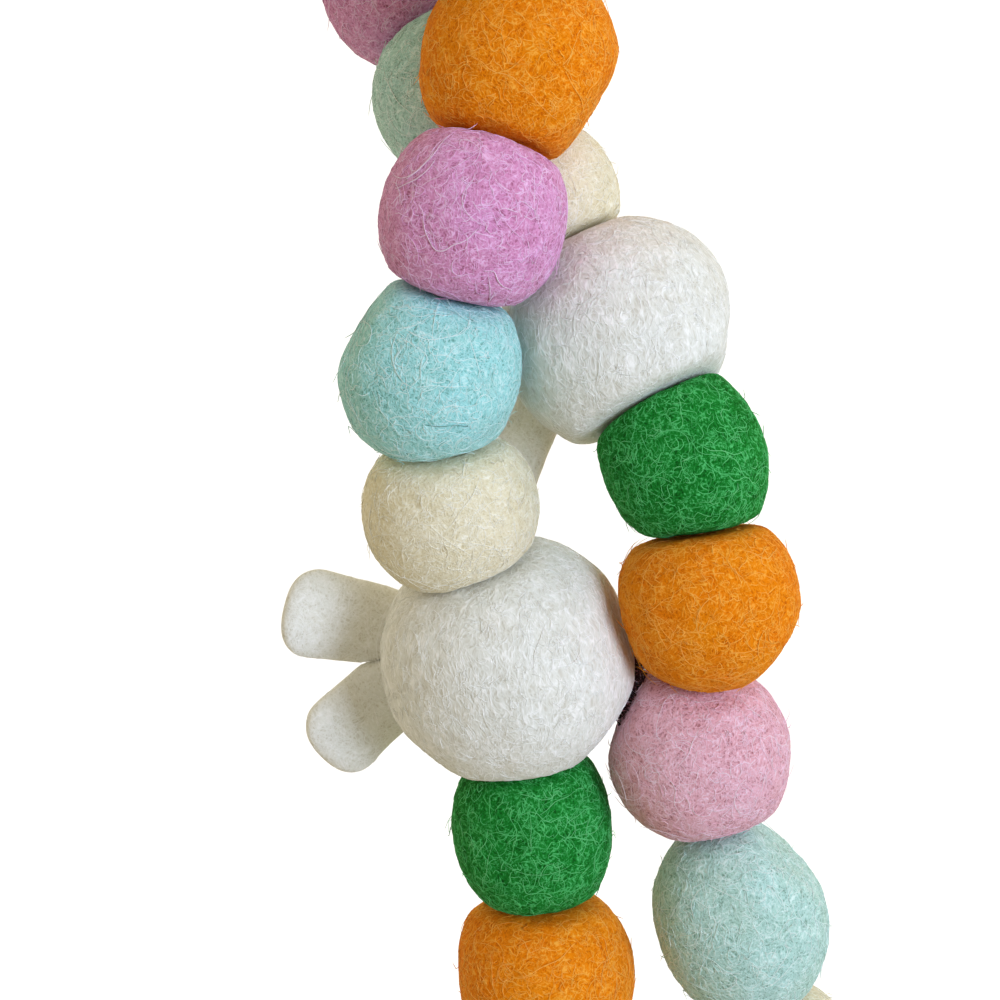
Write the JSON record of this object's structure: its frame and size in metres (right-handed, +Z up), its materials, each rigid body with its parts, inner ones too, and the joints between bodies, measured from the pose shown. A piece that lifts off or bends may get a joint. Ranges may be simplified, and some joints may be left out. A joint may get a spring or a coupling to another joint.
{
  "type": "hanging felt ball and rabbit head garland",
  "caption": "Felt garland hung doubled over the bend of its string: two strands of wool balls in repeating spring colours and white rabbit heads with two flat ears, for hanging up.",
  "frame": {"origin": "top of the string's bend, where whatever holds the garland up carries it", "axes": "+Z up, -Y towards the viewer of the front strand, +X to that viewer's right"},
  "size_m": [0.0741, 0.069, 0.228],
  "materials": {
    "orange_felt": "matted wool with loose fibres",
    "green_felt": "matted wool with loose fibres",
    "pink_felt": "matted wool with loose fibres",
    "aqua_felt": "matted wool with loose fibres",
    "cream_felt": "matted wool with loose fibres",
    "white_felt": "finer matted wool",
    "string": "twisted cotton"
  },
  "bodies": {
    "root": {"ball_orange_low": "orange_felt", "ball_green_low": "green_felt", "head_front": "white_felt", "ball_cream_front": "cream_felt", "ball_aqua_front": "aqua_felt", "ball_pink_front": "pink_felt", "ball_orange_front": "orange_felt", "ball_green_top": "green_felt", "ball_orange_top": "orange_felt", "ball_pink_back": "pink_felt", "ball_aqua_back": "aqua_felt", "ball_cream_back": "cream_felt", "head_back": "white_felt", "ball_green_right": "green_felt", "ball_orange_right": "orange_felt", "ball_pink_right": "pink_felt", "ball_aqua_right": "aqua_felt", "ball_cream_right": "cream_felt", "ear_front_upper": "white_felt", "ear_front_lower": "white_felt", "ear_back_upper": "white_felt", "ear_back_lower": "white_felt", "string": "string"}
  },
  "joints": []
}
